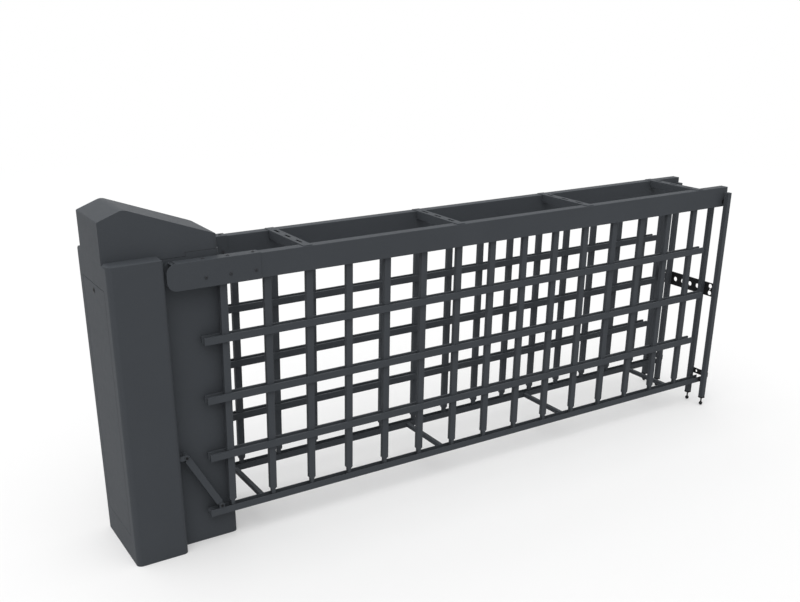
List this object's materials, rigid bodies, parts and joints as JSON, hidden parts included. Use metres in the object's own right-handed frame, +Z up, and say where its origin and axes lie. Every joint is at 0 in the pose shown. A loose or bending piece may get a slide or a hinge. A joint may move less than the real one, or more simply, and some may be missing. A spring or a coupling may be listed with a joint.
{
  "type": "parking barrier gate",
  "caption": "Parking barrier gate: sheet-metal drive cabinet with sloped hood and twin lifting booms that carry a folding fence of hinged bars, rails and footed end posts.",
  "frame": {"origin": "middle of the cabinet's base, at the centre of the four anchor holes, on the floor", "axes": "+X along the booms away from the cabinet, +Z up, +Y across the gate"},
  "size_m": [3.25, 0.463, 1.4207],
  "materials": {
    "painted_steel": "satin powder coat",
    "painted_aluminium": "satin powder coat on aluminium sections",
    "dark_steel": "dark primer",
    "bright_steel": "machined",
    "motor_frame": "cast, painted",
    "grey_plastic": "moulded, fine grain",
    "buffer_rubber": "matte",
    "spring_steel": "black lacquer",
    "lock_metal": "dull nickel",
    "bolt_steel": "blackened"
  },
  "bodies": {
    "cabinet": {"base_plate": "dark_steel", "cabinet_shell": "painted_steel", "top_hood": "painted_steel", "drive_stand": "dark_steel", "shaft_bearings": "bright_steel", "gearbox": "bright_steel", "drive_motor": "motor_frame", "controller_box": "grey_plastic", "stop_buffers": "buffer_rubber", "spring_anchor": "dark_steel", "balance_springs": "spring_steel", "link_brackets": "painted_steel"},
    "door": {"access_door": "painted_steel"},
    "lock": {"door_lock": "lock_metal"},
    "booms": {"main_shaft": "bright_steel", "shaft_flanges": "dark_steel", "drive_lever": "dark_steel", "lever_pins": "bright_steel", "boom_holder_front": "painted_steel", "boom_holder_rear": "painted_steel", "boom_front": "painted_aluminium", "boom_rear": "painted_aluminium", "holder_bolts": "bolt_steel", "cross_braces": "painted_aluminium", "bar_hinge_pins": "bright_steel", "post_hinge_pins": "bright_steel"},
    "crank": {"drive_crank": "dark_steel"},
    "rod": {"connecting_rod": "bright_steel"},
    "bar_01": {"bar_01": "painted_aluminium"},
    "bar_02": {"bar_02": "painted_aluminium"},
    "bar_03": {"bar_03": "painted_aluminium"},
    "bar_04": {"bar_04": "painted_aluminium"},
    "bar_05": {"bar_05": "painted_aluminium"},
    "bar_06": {"bar_06": "painted_aluminium"},
    "bar_07": {"bar_07": "painted_aluminium"},
    "bar_08": {"bar_08": "painted_aluminium"},
    "bar_09": {"bar_09": "painted_aluminium"},
    "bar_10": {"bar_10": "painted_aluminium"},
    "bar_11": {"bar_11": "painted_aluminium"},
    "bar_12": {"bar_12": "painted_aluminium"},
    "bar_13": {"bar_13": "painted_aluminium"},
    "bar_14": {"bar_14": "painted_aluminium"},
    "bar_15": {"bar_15": "painted_aluminium"},
    "rail_1": {"rail_1": "painted_aluminium", "rail_1_pins": "bright_steel"},
    "rail_2": {"rail_2": "painted_aluminium", "rail_2_pins": "bright_steel"},
    "rail_3": {"rail_3": "painted_aluminium", "rail_3_pins": "bright_steel"},
    "bottom_rail": {"bottom_rail_front": "painted_aluminium", "bottom_rail_rear": "painted_aluminium", "bottom_ties": "painted_aluminium", "bottom_pins": "bright_steel", "link_lugs": "painted_steel"},
    "posts": {"end_posts": "painted_aluminium", "post_feet": "dark_steel", "post_tie_plate": "dark_steel", "post_low_plates": "dark_steel"},
    "drag_links": {"drag_links": "painted_aluminium"}
  },
  "joints": [
    {"name": "boom_lift", "type": "hinge", "parent": "cabinet", "child": "booms", "pos_m": [0.076, 0, 1.15978], "axis": [0, -1, 0], "range_deg": [0, 90], "deforming": ["balance_springs"]},
    {"name": "door_tilt", "type": "hinge", "parent": "cabinet", "child": "door", "pos_m": [-0.228, 0, 0.1165], "axis": [0, -1, 0], "range_deg": [0, 35]},
    {"name": "lock_turn", "type": "hinge", "parent": "door", "child": "lock", "pos_m": [-0.228, 0, 1.10528], "axis": [1, 0, 0], "range_deg": [0, 90]},
    {"name": "crank_turn", "type": "hinge", "parent": "cabinet", "child": "crank", "pos_m": [0.076, 0, 0.75978], "axis": [0, -1, 0], "range_deg": [-1, 91]},
    {"name": "rod_pivot", "type": "hinge", "parent": "crank", "child": "rod", "pos_m": [0.1255, 0, 0.71028], "axis": [0, -1, 0], "range_deg": [-91, 1]},
    {"name": "bar_01_hinge", "type": "hinge", "parent": "booms", "child": "bar_01", "pos_m": [0.22, 0, 1.13578], "axis": [0, -1, 0], "range_deg": [-79.1, 1]},
    {"name": "bar_02_hinge", "type": "hinge", "parent": "booms", "child": "bar_02", "pos_m": [0.405, 0, 1.13578], "axis": [0, -1, 0], "range_deg": [-79.1, 1]},
    {"name": "bar_03_hinge", "type": "hinge", "parent": "booms", "child": "bar_03", "pos_m": [0.59, 0, 1.13578], "axis": [0, -1, 0], "range_deg": [-79.1, 1]},
    {"name": "bar_04_hinge", "type": "hinge", "parent": "booms", "child": "bar_04", "pos_m": [0.775, 0, 1.13578], "axis": [0, -1, 0], "range_deg": [-79.1, 1]},
    {"name": "bar_05_hinge", "type": "hinge", "parent": "booms", "child": "bar_05", "pos_m": [0.96, 0, 1.13578], "axis": [0, -1, 0], "range_deg": [-79.1, 1]},
    {"name": "bar_06_hinge", "type": "hinge", "parent": "booms", "child": "bar_06", "pos_m": [1.145, 0, 1.13578], "axis": [0, -1, 0], "range_deg": [-79.1, 1]},
    {"name": "bar_07_hinge", "type": "hinge", "parent": "booms", "child": "bar_07", "pos_m": [1.33, 0, 1.13578], "axis": [0, -1, 0], "range_deg": [-79.1, 1]},
    {"name": "bar_08_hinge", "type": "hinge", "parent": "booms", "child": "bar_08", "pos_m": [1.515, 0, 1.13578], "axis": [0, -1, 0], "range_deg": [-79.1, 1]},
    {"name": "bar_09_hinge", "type": "hinge", "parent": "booms", "child": "bar_09", "pos_m": [1.7, 0, 1.13578], "axis": [0, -1, 0], "range_deg": [-79.1, 1]},
    {"name": "bar_10_hinge", "type": "hinge", "parent": "booms", "child": "bar_10", "pos_m": [1.885, 0, 1.13578], "axis": [0, -1, 0], "range_deg": [-79.1, 1]},
    {"name": "bar_11_hinge", "type": "hinge", "parent": "booms", "child": "bar_11", "pos_m": [2.07, 0, 1.13578], "axis": [0, -1, 0], "range_deg": [-79.1, 1]},
    {"name": "bar_12_hinge", "type": "hinge", "parent": "booms", "child": "bar_12", "pos_m": [2.255, 0, 1.13578], "axis": [0, -1, 0], "range_deg": [-79.1, 1]},
    {"name": "bar_13_hinge", "type": "hinge", "parent": "booms", "child": "bar_13", "pos_m": [2.44, 0, 1.13578], "axis": [0, -1, 0], "range_deg": [-79.1, 1]},
    {"name": "bar_14_hinge", "type": "hinge", "parent": "booms", "child": "bar_14", "pos_m": [2.625, 0, 1.13578], "axis": [0, -1, 0], "range_deg": [-79.1, 1]},
    {"name": "bar_15_hinge", "type": "hinge", "parent": "booms", "child": "bar_15", "pos_m": [2.81, 0, 1.13578], "axis": [0, -1, 0], "range_deg": [-79.1, 1]},
    {"name": "post_hinge", "type": "hinge", "parent": "booms", "child": "posts", "pos_m": [2.995, 0, 1.13578], "axis": [0, -1, 0], "range_deg": [-79.1, 1]},
    {"name": "rail_1_pivot", "type": "hinge", "parent": "bar_08", "child": "rail_1", "pos_m": [1.50978, 0, 0.88684], "axis": [0, -1, 0], "range_deg": [-1, 79.1]},
    {"name": "rail_2_pivot", "type": "hinge", "parent": "bar_08", "child": "rail_2", "pos_m": [1.50457, 0, 0.63789], "axis": [0, -1, 0], "range_deg": [-1, 79.1]},
    {"name": "rail_3_pivot", "type": "hinge", "parent": "bar_08", "child": "rail_3", "pos_m": [1.49936, 0, 0.38894], "axis": [0, -1, 0], "range_deg": [-1, 79.1]},
    {"name": "bottom_rail_pivot", "type": "hinge", "parent": "bar_08", "child": "bottom_rail", "pos_m": [1.49414, 0, 0.14], "axis": [0, -1, 0], "range_deg": [-1, 79.1]},
    {"name": "drag_link_hinge", "type": "hinge", "parent": "cabinet", "child": "drag_links", "pos_m": [0.014, 0, 0.41727], "axis": [0, -1, 0], "range_deg": [-1, 32]}
  ],
  "couplings": [
    {"joint": "crank_turn", "follows": "boom_lift", "ratio": 1},
    {"joint": "rod_pivot", "follows": "boom_lift", "ratio": -1},
    {"joint": "bar_01_hinge", "follows": "boom_lift", "ratio": -0.86778},
    {"joint": "bar_02_hinge", "follows": "boom_lift", "ratio": -0.86778},
    {"joint": "bar_03_hinge", "follows": "boom_lift", "ratio": -0.86778},
    {"joint": "bar_04_hinge", "follows": "boom_lift", "ratio": -0.86778},
    {"joint": "bar_05_hinge", "follows": "boom_lift", "ratio": -0.86778},
    {"joint": "bar_06_hinge", "follows": "boom_lift", "ratio": -0.86778},
    {"joint": "bar_07_hinge", "follows": "boom_lift", "ratio": -0.86778},
    {"joint": "bar_08_hinge", "follows": "boom_lift", "ratio": -0.86778},
    {"joint": "bar_09_hinge", "follows": "boom_lift", "ratio": -0.86778},
    {"joint": "bar_10_hinge", "follows": "boom_lift", "ratio": -0.86778},
    {"joint": "bar_11_hinge", "follows": "boom_lift", "ratio": -0.86778},
    {"joint": "bar_12_hinge", "follows": "boom_lift", "ratio": -0.86778},
    {"joint": "bar_13_hinge", "follows": "boom_lift", "ratio": -0.86778},
    {"joint": "bar_14_hinge", "follows": "boom_lift", "ratio": -0.86778},
    {"joint": "bar_15_hinge", "follows": "boom_lift", "ratio": -0.86778},
    {"joint": "post_hinge", "follows": "boom_lift", "ratio": -0.86778},
    {"joint": "rail_1_pivot", "follows": "boom_lift", "ratio": 0.86778},
    {"joint": "rail_2_pivot", "follows": "boom_lift", "ratio": 0.86778},
    {"joint": "rail_3_pivot", "follows": "boom_lift", "ratio": 0.86778},
    {"joint": "bottom_rail_pivot", "follows": "boom_lift", "ratio": 0.86778},
    {"joint": "drag_link_hinge", "follows": "boom_lift", "ratio": 0.34892}
  ]
}
